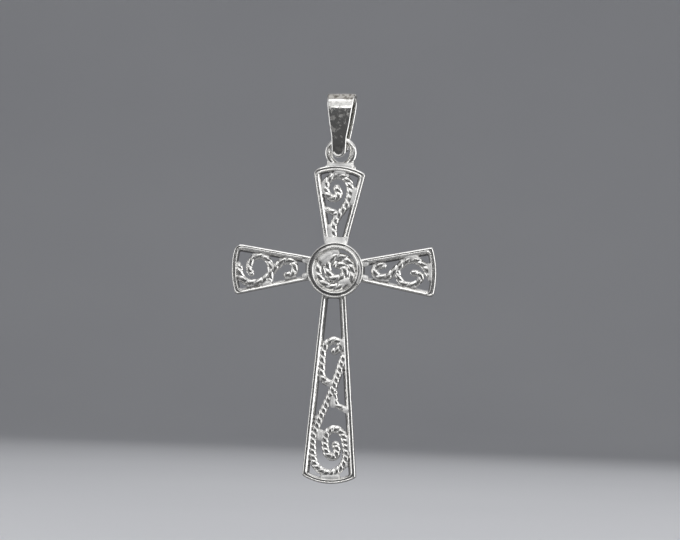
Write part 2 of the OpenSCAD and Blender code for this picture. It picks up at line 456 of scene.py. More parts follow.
@dataclass(frozen=True)
class CastSilver:
    """Sterling silver as it was cast, soldered and tumbled.

    It is a bright neutral metal. The faces that the polishing wheel missed keep a fine grain.
    A grey darkens the hollows and the slopes that the wheel misses, partly as tarnish and partly
    as painted shade, and it paints shade on the top of the bail's fold, so the ridges stay the
    brightest. The solder is left matt and frosted by the pickle bath.
    """

    name: str
    bright: str = "f2f1ee"
    # The grey of tarnish, which also paints shade in the hollows, round the windows and on the
    # bail's fold.
    film: str = "5e5c60"
    smooth: float = 0.16
    dull: float = 0.42
    # The widths of a grain and of a cloud of tarnish, and how many finer layers each noise has.
    grain_mm: float = 0.16
    cloud_mm: float = 1.1
    grain_detail: float = 3.0
    cloud_detail: float = 4.0
    noise_roughness: float = 0.55
    # The noise at which a cloud begins and is full.
    cloud_from: float = 0.5
    cloud_full: float = 0.72
    # How far the grey of tarnish and painted shade goes at most, and how far the random clouds of
    # tarnish go.
    film_most: float = 0.65
    cloud_most: float = 0.3
    # How far a flat face is from a polished one.
    face_dull: float = 0.55
    # How deep the grain is, and its share on a ridge and what a flat face adds.
    bump_mm: float = 0.014
    ridge_grain: float = 0.3
    face_grain: float = 0.7
    # How much rougher solder is, and how much less it mirrors.
    solder_rougher: float = 0.28
    solder_frost: float = 0.6

    def material(self) -> bpy.types.Material:
        """Builds the silver's nodes.

        Returns:
            The material, which reads the piece's attributes for its grey of tarnish and painted
            shade, its face and its matt.
        """
        material = bpy.data.materials.new(self.name)
        add = empty_nodes(material)
        hollow, face, matt = (
            add("ShaderNodeAttribute", attribute_name=name).outputs["Fac"]
            for name in ("hollow", "face", "matt")
        )
        place = add("ShaderNodeTexCoord").outputs["Object"]
        layers = ((self.grain_mm, self.grain_detail), (self.cloud_mm, self.cloud_detail))
        grain, cloud = (
            add("ShaderNodeTexNoise", {
                "Vector": place, "Scale": 1 / (width * MM), "Detail": detail,
                "Roughness": self.noise_roughness,
            })
            for width, detail in layers
        )

        # Tarnish and painted shade from the piece's attribute, with random clouds of tarnish added.
        filmed = add(MATH, {0: hollow, 1: self.film_most}, operation="MULTIPLY")
        clouded = add(REMAP, {
            "Value": cloud, "From Min": self.cloud_from, "From Max": self.cloud_full,
            "To Max": self.cloud_most,
        })
        film = add(MATH, {0: filmed, 1: clouded}, operation="ADD", use_clamp=True)
        colours = {6: linear(self.bright), 7: linear(self.film)}
        colour = add(MIX, {0: film, **colours}, data_type="RGBA").outputs[2]

        worn = add(
            MATH, {0: face, 1: self.face_dull, 2: filmed}, operation="MULTIPLY_ADD", use_clamp=True
        )
        patchy = add(MATH, {0: grain, 1: worn}, operation="MULTIPLY")
        patchy = add(MATH, {0: patchy, 1: clouded}, operation="ADD", use_clamp=True)
        rough = add(REMAP, {"Value": patchy, "To Min": self.smooth, "To Max": self.dull})
        rough = add(MATH, {0: matt, 1: self.solder_rougher, 2: rough}, operation="MULTIPLY_ADD")
        metallic = add(MATH, {0: matt, 1: -self.solder_frost, 2: 1.0}, operation="MULTIPLY_ADD")

        depth = add(
            MATH, {0: face, 1: self.face_grain, 2: self.ridge_grain}, operation="MULTIPLY_ADD"
        )
        depth = add(MATH, {0: matt, 1: depth}, operation="ADD")
        relief = add(MATH, {0: grain, 1: depth}, operation="MULTIPLY")
        bump = add("ShaderNodeBump", {
            "Height": relief, "Distance": self.bump_mm * MM, "Strength": 1.0,
        })
        shader = add("ShaderNodeBsdfPrincipled", {
            "Base Color": colour, "Metallic": metallic, "Roughness": rough, "Normal": bump,
        })
        add("ShaderNodeOutputMaterial", {"Surface": shader})
        return material


@dataclass(frozen=True)
class MattPaper:
    """Uncoated pale paper: it has no gloss, and its tone wanders a little over the sweep."""

    dark: str = "d3d4d8"
    pale: str = "dcdde0"
    roughness: float = 0.9
    sheen: float = 0.2
    clouds_per_m: float = 6.0
    cloud_detail: float = 2.0

    def material(self) -> bpy.types.Material:
        """Builds the paper's nodes.

        Returns:
            The material.
        """
        material = bpy.data.materials.new("matt_paper")
        add = empty_nodes(material)
        place = add("ShaderNodeTexCoord").outputs["Object"]
        cloud = add("ShaderNodeTexNoise", {
            "Vector": place, "Scale": self.clouds_per_m, "Detail": self.cloud_detail,
        })
        tones = {6: linear(self.dark), 7: linear(self.pale)}
        colour = add(MIX, {0: cloud, **tones}, data_type="RGBA").outputs[2]
        shader = add("ShaderNodeBsdfPrincipled", {
            "Base Color": colour, "Roughness": self.roughness, "Specular IOR Level": self.sheen,
        })
        add("ShaderNodeOutputMaterial", {"Surface": shader})
        return material


# Twisted wire and solder


@dataclass(frozen=True)
class Wire:
    """One scroll: its width, the length of one turn of its twist, its bends and how far it
    stands in front of the frame's middle.
    """

    width: float
    lay: float
    bends: tuple[Bend, ...]
    proud: float = 0.22

    def stretches(self) -> list[tuple[complex, complex, complex, complex]]:
        """Finds the smooth curve between each two bends.

        Returns:
            For each stretch its start, the handles of its two ends, and its end.
        """
        found = []
        for (x0, z0, turn0), (x1, z1, turn1) in zip(self.bends, self.bends[1:]):
            p, q = complex(x0, z0), complex(x1, z1)
            reach = abs(q - p) / (3 * math.cos(math.radians(turn1 - turn0) / 4) ** 2)
            found.append((p, p + polar(reach, turn0), q - polar(reach, turn1), q))
        return found

    def along(self, steps: int) -> list[complex]:
        """Finds places along the wire.

        Args:
            steps: the number of steps between two bends.

        Returns:
            The places, with the wire's two ends.
        """
        places = []
        for p, p1, q1, q in self.stretches():
            for i in range(steps):
                t = i / steps
                u = 1 - t
                places.append(u**3 * p + 3 * u * u * t * p1 + 3 * u * t * t * q1 + t**3 * q)
        return places + [self.stretches()[-1][3]]


@dataclass(frozen=True)
class Strands:
    """The worn section of two twisted strands, as shares of the wire's half width.

    The front is worn to a flat between two sloping flanks, and the back is nearly round. The
    grooves between the strands cross both. Each size is an input of the node tree.
    """

    groove: float = 0.3
    groove_width: float = 0.5
    nick: float = 0.13
    top: float = 0.65
    slope: float = 0.5
    swell: float = 0.36
    # How softly the flat turns into the flanks.
    blend: float = 0.08
    back: float = 0.82
    least_tip: float = 0.15


@dataclass
class WireTwister:
    """Geometry Nodes that sweep the section of two twisted strands along a curve.

    The curve's radius is the wire's half width. The lay is the length of one turn, and the
    strands run down to the right in front.
    """

    strands: Strands = Strands()
    # The swept wire's steps, in millimetres and round its section.
    step: float = 0.04
    sides: int = 48
    path_steps: int = 24
    tree: bpy.types.NodeTree = field(init=False)

    def __post_init__(self) -> None:
        """Builds the tree once, for all wires."""
        self.tree = self._tree()

    def _tree(self) -> bpy.types.NodeTree:
        """Builds the node tree.

        Returns:
            A tree with inputs for the path, the lay, the steps, the section and the finish.
        """
        tree = bpy.data.node_groups.new("twisted_wire", "GeometryNodeTree")
        inputs = {"path": "Geometry", "lay": "Float", "step": "Float", "sides": "Int"}
        inputs |= {**dict.fromkeys(asdict(self.strands), "Float"), "finish": "Material"}
        for name, kind in inputs.items():
            tree.interface.new_socket(name, in_out="INPUT", socket_type="NodeSocket" + kind)
        tree.interface.new_socket(
            "twisted", in_out="OUTPUT", socket_type="NodeSocketGeometry"
        )

        add = partial(add_node, tree)
        given = add("NodeGroupInput").outputs
        path = add(
            "GeometryNodeResampleCurve", {"Curve": given["path"], "Length": given["step"]},
            mode="LENGTH",
        )
        so_far = add("GeometryNodeSplineParameter").outputs["Length"]
        turns = add(MATH, {0: so_far, 1: given["lay"]}, operation="DIVIDE")
        angle = add(MATH, {0: turns, 1: -2 * math.pi}, operation="MULTIPLY")
        wire = add("GeometryNodeSetCurveTilt", {"Curve": path, "Tilt": angle})
        radius = add("GeometryNodeInputRadius")
        tip = self._tip(add, given, so_far, radius)
        half = add(MATH, {0: radius, 1: tip}, operation="MULTIPLY")
        place = add("GeometryNodeInputPosition")
        for name, value, kind in (("middle", place, "FLOAT_VECTOR"), ("half", half, "FLOAT")):
            noted = {"Geometry": wire, "Name": name, "Value": value}
            wire = add(STORE, noted, data_type=kind, domain="POINT")
        tube = add("GeometryNodeCurveToMesh", {
            "Curve": wire, "Profile Curve": self._section(add, given), "Scale": half,
            "Fill Caps": True,
        })
        rolled = self._rolled(add, given, tube)
        real = add("GeometryNodeRealizeInstances", {"Geometry": rolled})
        dressed = add("GeometryNodeSetMaterial", {"Geometry": real, "Material": given["finish"]})
        add("NodeGroupOutput", {0: dressed})
        return tree

    def _tip(
        self, add: Adder, given: bpy.types.NodeOutputs, so_far: bpy.types.NodeSocket,
        radius: bpy.types.Node,
    ) -> bpy.types.Node:
        """Rounds the wire's two ends.

        Args:
            add: add_node for the tree.
            given: the tree's inputs.
            so_far: the length from the wire's start.
            radius: the wire's half width.

        Returns:
            A node with the share of its width that the wire has at each place.
        """
        whole = add("GeometryNodeSplineLength").outputs["Length"]
        rest = add(MATH, {0: whole, 1: so_far}, operation="SUBTRACT")
        nearest = add(MATH, {0: so_far, 1: rest}, operation="MINIMUM")
        share = add(MATH, {0: nearest, 1: radius}, operation="DIVIDE")
        share = add(MATH, {0: share, 1: 1.0}, operation="MINIMUM")
        gap = add(MATH, {0: 1.0, 1: share}, operation="SUBTRACT")
        square = add(MATH, {0: gap, 1: gap}, operation="MULTIPLY")
        left = add(MATH, {0: 1.0, 1: square}, operation="SUBTRACT")
        root = add(MATH, {0: left}, operation="SQRT")
        return add(MATH, {0: root, 1: given["least_tip"]}, operation="MAXIMUM")

    def _section(self, add: Adder, given: bpy.types.NodeOutputs) -> bpy.types.Node:
        """Draws a round section and stores where the grooves of the two strands are.

        Args:
            add: add_node for the tree.
            given: the tree's inputs.

        Returns:
            A node with a closed curve whose half width is 1.
        """
        circle = add(
            "GeometryNodeCurvePrimitiveCircle", {"Resolution": given["sides"], "Radius": 1.0}
        )
        place = add("GeometryNodeInputPosition")
        across = add("ShaderNodeSeparateXYZ", {0: place}).outputs["X"]
        share = add(MATH, {0: across, 1: given["groove_width"]}, operation="DIVIDE")
        square = add(MATH, {0: share, 1: share}, operation="MULTIPLY")
        falloff = add(MATH, {0: square, 1: -1.0}, operation="MULTIPLY")
        notch = add(MATH, {0: falloff}, operation="EXPONENT")
        noted = {"Geometry": circle, "Name": "notch", "Value": notch}
        return add(STORE, noted, data_type="FLOAT", domain="POINT")

    def _rolled(
        self, add: Adder, given: bpy.types.NodeOutputs, tube: bpy.types.Node
    ) -> bpy.types.Node:
        """Gives the round wire its worn front, its back and its grooves.

        Args:
            add: add_node for the tree.
            given: the tree's inputs.
            tube: the round wire.

        Returns:
            A node with the finished wire.
        """
        place = add("GeometryNodeInputPosition")
        middle, half, notch = (
            add("GeometryNodeInputNamedAttribute", {"Name": name}, data_type=kind)
            for name, kind in (("middle", "FLOAT_VECTOR"), ("half", "FLOAT"), ("notch", "FLOAT"))
        )
        away = add(VECTOR_MATH, {0: place, 1: middle}, operation="SUBTRACT")
        parts = add("ShaderNodeSeparateXYZ", {0: away}).outputs
        level = add("ShaderNodeCombineXYZ", {"X": parts["X"], "Z": parts["Z"]})
        length = add(VECTOR_MATH, {0: level}, operation="LENGTH").outputs["Value"]
        share = add(MATH, {0: length, 1: half}, operation="DIVIDE")
        share = add(MATH, {0: share, 1: 1.0}, operation="MINIMUM")

        # The round arch, and the front with its flat between two flanks.
        square = add(MATH, {0: share, 1: share}, operation="MULTIPLY")
        under = add(MATH, {0: 1.0, 1: square}, operation="SUBTRACT")
        arch = add(MATH, {0: under}, operation="SQRT")
        rest = add(MATH, {0: 1.0, 1: share}, operation="SUBTRACT")
        flank = add(MATH, {0: rest, 1: given["slope"]}, operation="MULTIPLY")
        flank = add(MATH, {0: arch, 1: given["swell"], 2: flank}, operation="MULTIPLY_ADD")
        flat = {0: flank, 1: given["top"], 2: given["blend"]}
        front = add(MATH, flat, operation="SMOOTH_MIN")
        front = add(MATH, {0: front, 1: -1.0}, operation="MULTIPLY")
        back = add(MATH, {0: arch, 1: given["back"]}, operation="MULTIPLY")
        in_front = add(MATH, {0: parts["Y"], 1: 0.0}, operation="LESS_THAN")
        height = add(MIX, {0: in_front, 2: back, 3: front}, data_type="FLOAT")

        # The grooves lower it and nick its sides.
        cut = add(MATH, {0: notch, 1: given["groove"]}, operation="MULTIPLY")
        kept = add(MATH, {0: 1.0, 1: cut}, operation="SUBTRACT")
        height = add(MATH, {0: height, 1: kept}, operation="MULTIPLY")
        depth = add(MATH, {0: height, 1: half}, operation="MULTIPLY")
        nick = add(MATH, {0: notch, 1: given["nick"]}, operation="MULTIPLY")
        narrower = add(MATH, {0: 1.0, 1: nick}, operation="SUBTRACT")
        level = add(VECTOR_MATH, {0: level, "Scale": narrower}, operation="SCALE")
        raised = add("ShaderNodeCombineXYZ", {"Y": depth})
        moved = add(VECTOR_MATH, {0: level, 1: raised}, operation="ADD")
        moved = add(VECTOR_MATH, {0: moved, 1: middle}, operation="ADD")
        return add("GeometryNodeSetPosition", {"Geometry": tube, "Position": moved})

    def mesh(self, wire: Wire, finish: bpy.types.Material) -> bpy.types.Mesh:
        """Twists one wire.

        Args:
            wire: the wire.
            finish: its material.

        Returns:
            Its closed mesh.
        """
        data = bpy.data.curves.new("wire_path", "CURVE")
        data.dimensions = "3D"
        data.resolution_u = self.path_steps
        data.twist_mode = "MINIMUM"
        stretches = wire.stretches()
        spline = data.splines.new("BEZIER")
        spline.bezier_points.add(len(stretches))
        places = [s[0] for s in stretches] + [stretches[-1][3]]
        afters = [s[1] for s in stretches] + [stretches[-1][3]]
        befores = [stretches[0][0]] + [s[2] for s in stretches]
        for point, place, before, after in zip(spline.bezier_points, places, befores, afters):
            point.radius = wire.width / 2
            point.handle_left_type = point.handle_right_type = "FREE"
            point.co = (place.real, -wire.proud, place.imag)
            point.handle_left = (before.real, -wire.proud, before.imag)
            point.handle_right = (after.real, -wire.proud, after.imag)
        obj = scratch_object("wire_path", data)
        modifier = obj.modifiers.new("twisted_wire", "NODES")
        modifier.node_group = self.tree
        values = {"lay": wire.lay, "step": self.step, "sides": self.sides, "finish": finish}
        values |= asdict(self.strands)
        for item in self.tree.interface.items_tree:
            if item.name in values:
                modifier[item.identifier] = values[item.name]
        mesh = evaluated(obj)
        bpy.data.objects.remove(obj)
        bpy.data.curves.remove(data)
        return mesh


@dataclass(frozen=True)
class Solder:
    """A run of solder between two places, with its radius and how far it is proud."""

    start: complex
    end: complex
    radius: float
    proud: float = 0.1
    smoothness: int = 3

    def mesh(self) -> bpy.types.Mesh:
        """Makes a rounded run from one end to the other.

        Returns:
            Its closed mesh.
        """
        shape = bmesh.new()
        bmesh.ops.create_icosphere(shape, subdivisions=self.smoothness, radius=self.radius)
        way = self.end - self.start
        for vert in shape.verts:
            end = self.end if dot(way, complex(vert.co.x, vert.co.z)) > 0 else self.start
            vert.co += Vector((end.real, -self.proud, end.imag))
        mesh = bpy.data.meshes.new("solder")
        shape.to_mesh(mesh)
        shape.free()
        return mesh


# Pieces


@dataclass
class Piece:
    """A piece of the pendant, which rides on a body and stands for its CAD node."""

    name: str
    body: Body
    origin: Vector

    def dress(self, mesh: bpy.types.Mesh, finish: bpy.types.Material) -> bpy.types.Object:
        """Puts a finished mesh in its place with its material.

        Args:
            mesh: the mesh, in millimetres from the piece's origin.
            finish: its material.

        Returns:
            The piece, which rides on its body.
        """
        mesh.name = self.name
        mesh.transform(Matrix.Scale(MM, 4) @ Matrix.Translation(self.origin))
        mesh.materials.clear()
        mesh.materials.append(finish)
        mesh.polygons.foreach_set("material_index", [0] * len(mesh.polygons))
        mesh.shade_smooth()
        mesh.update()
        obj = scratch_object(self.name, mesh)
        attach(obj, self.body.value)
        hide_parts(self.body.value)
        return obj


@dataclass
class Soldered(Piece):
    """A piece whose parts are soldered together and tumbled until their edges are soft."""

    wires: tuple[Wire, ...] = ()
    solders: tuple[Solder, ...] = ()
    voxel: float = 0.04
    softening: int = 2
    triangles: int = 120_000
    # How far handwork leaves the surface uneven, and over what length.
    waver: float = 0.012
    waver_length: float = 0.9
    # How deep a full recess lies, below surroundings that are smoothed so many times.
    hollow_depth: float = 0.055
    hollow_rounds: int = 24
    # How much of the full grey the hollows get, as tarnish and painted shade, and how far the grey
    # of tarnish and painted shade reaches from the places that the polishing wheel misses.
    hollow_film: float = 0.3
    film_reach: float = 0.2
    film_fade: float = 2.0
    # How squarely a flat face looks to the front or back, from where it begins to count.
    flat_from: float = 0.96
    flat_span: float = 0.03

    def parts(self, finish: bpy.types.Material) -> list[bpy.types.Mesh]:
        """The closed parts that are soldered together: here the wires and their solder."""
        twister = WireTwister()
        twisted = [twister.mesh(wire, finish) for wire in self.wires]
        return [*twisted, *(run.mesh() for run in self.runs())]

    def runs(self) -> list[Solder]:
        """All runs of solder on the piece."""
        return list(self.solders)

    def unpolished(self) -> list[Vector]:
        """Places that the polishing wheel doesn't reach, which get tarnish and painted shade."""
        raise NotImplementedError

    def build(self, finish: bpy.types.Material) -> bpy.types.Object:
        """Solders the parts into one skin and dresses it.

        Args:
            finish: the piece's material.

        Returns:
            The piece.
        """
        obj = scratch_object(self.name + "_parts", joined("parts", self.parts(finish)))
        melt = obj.modifiers.new("melt", "REMESH")
        melt.mode = "VOXEL"
        melt.voxel_size = self.voxel * 1
        tumble = obj.modifiers.new("tumble", "SMOOTH")
        tumble.factor = 0.5
        tumble.iterations = self.softening
        fine = evaluated(obj)
        obj.data = fine
        thin = obj.modifiers.new("thin", "DECIMATE")
        fine.calc_loop_triangles()
        thin.ratio = min(1.0, self.triangles / len(fine.loop_triangles))
        mesh = evaluated(obj)
        LOG.info("%s: %d triangles as melted", self.name, len(fine.loop_triangles))
        self._mark(mesh, fine)
        self._waver(mesh)
        bpy.data.objects.remove(obj)
        bpy.data.meshes.remove(fine)
        return self.dress(mesh, finish)

    def _mark(self, mesh: bpy.types.Mesh, fine: bpy.types.Mesh) -> None:
        """Stores how much tarnish and painted shade, how flat and how much solder the surface is,
        for the material.

        Args:
            mesh: the thinned mesh that gets the attributes.
            fine: the even mesh that hollows and flats are measured on.
        """
        # Tarnish and painted shade: a grey in the hollows and near the places the polishing wheel
        # misses.
        deep = np.clip(hollows(fine, self.hollow_rounds) / self.hollow_depth, 0, 1)
        squarely = np.abs(rows_of(fine, "normal")[:, 1])
        flats = np.clip((squarely - self.flat_from) / self.flat_span, 0, 1)
        fine_tree = tree_of([vertex.co for vertex in fine.vertices])
        nearest = [fine_tree.find(vertex.co)[1] for vertex in mesh.vertices]
        dull_tree = tree_of(self.unpolished())
        near = np.array([dull_tree.find(vertex.co)[2] for vertex in mesh.vertices])
        film = np.clip(self.film_fade * (1 - near / self.film_reach), 0, 1)
        store(mesh, "hollow", np.maximum((self.hollow_film * deep)[nearest], film))
        store(mesh, "face", flats[nearest])
        store(mesh, "matt", self._solder_shown(rows_of(mesh)))

    def _solder_shown(self, places: np.ndarray) -> np.ndarray:
        """Finds where the solder's own skin shows.

        Args:
            places: places on the piece, one row each.

        Returns:
            For each place how much it is solder, from 0 to 1.
        """
        flat = places[:, 0] + 1j * places[:, 2]
        shown = np.zeros(len(flat))
        for run in self.runs():
            way = run.end - run.start
            share = ((flat - run.start) * np.conj(way)).real / max(abs(way) ** 2, 1e-6)
            aside = np.abs(flat - run.start - np.clip(share, 0, 1) * way)
            distance = np.hypot(aside, places[:, 1] + run.proud)
            shown = np.maximum(shown, np.clip(1 - (distance - run.radius) / self.voxel, 0, 1))
        return shown

    def _waver(self, mesh: bpy.types.Mesh) -> None:
        """Makes the surface a little uneven, as handwork is."""
        for vertex in mesh.vertices:
            vertex.co += self.waver * noise.noise_vector(vertex.co / self.waver_length)


@dataclass
class OpenArm(Soldered):
    """An arm of the cross: bevelled bars round a window, with scrolls soldered into it.

    Its sizes are laid out along u, outwards from the disc, with widths left and right of its
    axis. The extras are what the left, right and end bars are wider or narrower than bar_w.
    """

    arm: Arm = Arm.RIGHT
    neck: tuple[float, float] = (1.4, 1.4)
    foot_left: tuple[float, float] = (12.0, 3.2)
    foot_right: tuple[float, float] = (12.0, 3.2)
    crown_u: float = 12.6
    corner: tuple[float, float] = (0.4, 0.4)
    window_u: float = 3.6
    extra: tuple[float, float, float] = (0.0, 0.0, 0.0)
    loop: TopLoop | None = None
    # The solder that climbs to the disc's rim: how far out, and how high above the middle.
    climb: tuple[tuple[float, float], ...] = ()
    bar_w: float = 0.85
    neck_u: float = 2.9
    neck_round: float = 0.3
    window_round: float = 0.12
    crown_steps: int = 16
    corner_steps: int = 6
    side_step: float = 0.3
    # How far a corner reaches into the end's arc: a share of its radius, and a length.
    corner_share: float = 1.3
    corner_room: float = 0.15
    # From the bar's edge to its face: how far in, and how high above its middle.
    outer_edge: tuple[tuple[float, float], ...] = (
        (0.0, 0.38), (0.02, 0.46), (0.1, 0.61), (0.16, 0.65)
    )
    window_edge: tuple[tuple[float, float], ...] = (
        (0.0, 0.0), (0.1, 0.22), (0.2, 0.4), (0.34, 0.55), (0.42, 0.62), (0.48, 0.65)
    )
    back_edge: tuple[tuple[float, float], ...] = (
        (0.0, 0.4), (0.03, 0.48), (0.15, 0.62), (0.22, 0.65)
    )
    # How many rows of a window's edge the polishing wheel misses, which get tarnish and painted
    # shade.
    unpolished_rows: int = 2
    # How high the sunken middle of the face lies, and between which shares of its width.
    channel_h: float = 0.615
    channel_sides: tuple[float, float] = (0.35, 0.65)
    # How far past the window's near end solder fills the channel, and over what length it ends.
    filled_to: float = 1.0
    filled_fade: float = 0.8
    # How wide the end bar's slope to the window is, as a share of the others'.
    end_slope: float = 0.5
    # The seats of solder: radius, the gap they still close, how far proud, how near the bar.
    seat_r: float = 0.3
    seat_gap: float = 0.16
    seat_proud: float = 0.12
    seat_share: float = 0.65
    seat_steps: int = 5
    # The climbing solder's section: how far it stays from the arm's sides, how wide and high
    # its shoulders are, and how low its foot lies.
    climb_margin: float = 0.1
    climb_shoulder: tuple[float, float] = (0.25, 0.2)
    climb_foot: float = -0.3

    def outline(
        self, d: tuple[float, float, float], u0: float, near: float, corner: tuple[float, float]
    ) -> list[complex]:
        """The arm's outline, or its window's.

        Args:
            d: how far the left, right and end sides are moved inwards.
            u0: where the outline starts along the arm.
            near: the radius of its corners near the disc.
            corner: the radius of its far left and far right corners.

        Returns:
            Its points along and across the arm, anticlockwise from the front, as many for
            every outline of the arm.
        """
        start_r, start_l = complex(self.neck_u, -self.neck[1]), complex(self.neck_u, self.neck[0])
        end_r = complex(self.foot_right[0], -self.foot_right[1])
        end_l = complex(*self.foot_left)
        middle = complex(self.crown_u, (self.foot_left[1] - self.foot_right[1]) / 2)
        centre, radius = circle_through(end_r, middle, end_l)
        radius -= d[2]
        out_r, out_l = unit(end_r - start_r), unit(end_l - start_l)
        start_r += d[1] * 1j * out_r
        start_l -= d[0] * 1j * out_l
        near_r = start_r + out_r * (u0 - start_r.real) / out_r.real
        near_l = start_l + out_l * (u0 - start_l.real) / out_l.real
        far_r = leave(near_r, out_r, centre, radius)
        far_l = leave(near_l, out_l, centre, radius)
        room_l, room_r = ((self.corner_share * r + self.corner_room) / radius for r in corner)
        a0 = cmath.phase(far_r - centre) + room_r
        a1 = cmath.phase(far_l - centre) - room_l
        steps = self.crown_steps
        top = [
            centre + cmath.rect(radius, a0 + (a1 - a0) * i / steps) for i in range(steps + 1)
        ]
        n = self.corner_steps
        return (
            rounded(near_l, near_r, far_r, near, n)
            + rounded(near_r, far_r, top[0], corner[1], n)
            + top
            + rounded(top[-1], far_l, near_l, corner[0], n)
            + rounded(far_l, near_l, near_r, near, n)
        )

    def window(self, wider: float = 0.0) -> list[complex]:
        """The outline of the arm's window, or of the face's edge round it.

        Args:
            wider: how far outside the window the outline lies.

        Returns:
            Its points along and across the arm.
        """
        left, right, end = (self.bar_w + more for more in self.extra)
        d = (left - wider, right - wider, end - wider * self.end_slope)
        corner = self.window_round + wider
        return self.outline(d, self.window_u - wider * self.end_slope, corner, (corner, corner))

    def bars(self) -> bpy.types.Mesh:
        """Makes the bars, bevelled in front and behind, with a channel along their face.

        Returns:
            Their closed mesh.
        """
        outer = self.outline((0, 0, 0), self.neck_u, self.neck_round, self.corner)
        sections = [(inset(outer, d), h) for d, h in reversed(self.outer_edge)]
        sections += [(inset(outer, d), -h) for d, h in self.back_edge]
        sections += [(self.window(d), -h) for d, h in reversed(self.back_edge)]
        sections += [(self.window(d), h) for d, h in self.window_edge]
        face = list(zip(sections[-1][0], sections[0][0]))
        sections += [
            ([p + (q - p) * share for p, q in face], self.channel_h)
            for share in self.channel_sides
        ]
        return skin("bars", self._placed(sections, cuts_of(outer, self.side_step)), True)

    def _placed(self, sections: list, cuts: list[int]) -> list[list[Vector]]:
        """Puts loops of the bars in their places.

        Args:
            sections: for each loop its outline along and across the arm, and its height.
            cuts: into how many lengths each side of an outline is cut.

        Returns:
            The loops.
        """
        turn = polar(1, self.arm.value)
        return [
            [
                Vector(((p * turn).real, -self._filled(p, height), (p * turn).imag))
                for p in densified(outline, cuts)
            ]
            for outline, height in sections
        ]

    def _filled(self, p: complex, height: float) -> float:
        """Fills the channel with solder at the neck.

        Args:
            p: a place along and across the arm.
            height: the bar's height there, as it was cast.

        Returns:
            The height with the solder.
        """
        if height != self.channel_h:
            return height
        near = (self.window_u + self.filled_to - p.real) / self.filled_fade
        return height + (self.outer_edge[-1][1] - height) * min(1.0, max(0.0, near))

    def unpolished(self) -> list[Vector]:
        """Finds the slopes round the window, in front and behind, which get tarnish and painted
        shade.

        Returns:
            Places along them.
        """
        rows = slice(self.unpolished_rows)
        sections = [(self.window(d), h) for d, h in self.window_edge[rows]]
        sections += [(self.window(d), -h) for d, h in self.back_edge[rows]]
        cuts = cuts_of(sections[0][0], self.film_reach / 2)
        return [place for loop in self._placed(sections, cuts) for place in loop]

    def climbing(self) -> bpy.types.Mesh:
        """Makes the solder that climbs from the neck to the disc's rim.

        Returns:
            Its closed mesh.
        """
        turn = polar(1, self.arm.value)
        out, down = self.climb_shoulder
        loops = []
        for u, height in self.climb:
            sides = []
            for near, foot in zip(self.neck, (self.foot_left, self.foot_right)):
                share = (u - self.neck_u) / (foot[0] - self.neck_u)
                sides.append(near + share * (foot[1] - near) - self.climb_margin)
            left, right = sides
            row = [(-right, self.climb_foot), (-right, height - down), (-right + out, height)]
            row += [(left - out, height), (left, height - down), (left, self.climb_foot)]
            places = [(complex(u, across) * turn, h) for across, h in row]
            loops.append([(p.real, -h, p.imag) for p, h in places])
        return skin("climbing", loops, False)

    def _solder_shown(self, places: np.ndarray) -> np.ndarray:
        """Finds where solder shows, with the solder that climbs to the rim.

        Args:
            places: places on the arm, one row each.

        Returns:
            For each place how much it is solder, from 0 to 1.
        """
        shown = super()._solder_shown(places)
        if self.climb:
            along = ((places[:, 0] + 1j * places[:, 2]) / polar(1, self.arm.value)).real
            shown[(along < self.climb[-1][0] + self.voxel) & (places[:, 1] < 0)] = 1
        return shown

    def runs(self) -> list[Solder]:
        """The runs laid out for the arm, and the seats of its wires."""
        return [*self.solders, *self.seats()]

    def seats(self) -> list[Solder]:
        """Finds where a wire lies against a bar.

        Returns:
            A small seat of solder for each such place.
        """
        window = self.window()
        turn = polar(1, self.arm.value)
        found = []
        for wire in self.wires:
            for place in wire.along(self.seat_steps):
                p = place / turn
                edge = min(self._nearest(p, window), key=lambda q: abs(q - p))
                if abs(edge - p) < wire.width / 2 + self.seat_gap:
                    seat = ((1 - self.seat_share) * p + self.seat_share * edge) * turn
                    found.append(Solder(seat, seat, self.seat_r, self.seat_proud))
        return found

    def _nearest(self, p: complex, loop: list[complex]) -> list[complex]:
        """The nearest point to p on each side of a loop."""
        return [
            a + (b - a) * min(1.0, max(0.0, dot(b - a, p - a) / dot(b - a, b - a)))
            for a, b in sides_of(loop)
        ]

    def parts(self, finish: bpy.types.Material) -> list[bpy.types.Mesh]:
        """Makes the bars, the wires with their solder, and the loop.

        Args:
            finish: the wires' material.

        Returns:
            Their closed meshes.
        """
        climbing = [self.climbing()] if self.climb else []
        loop = self.loop.parts() if self.loop else []
        return [self.bars(), *super().parts(finish), *climbing, *loop]


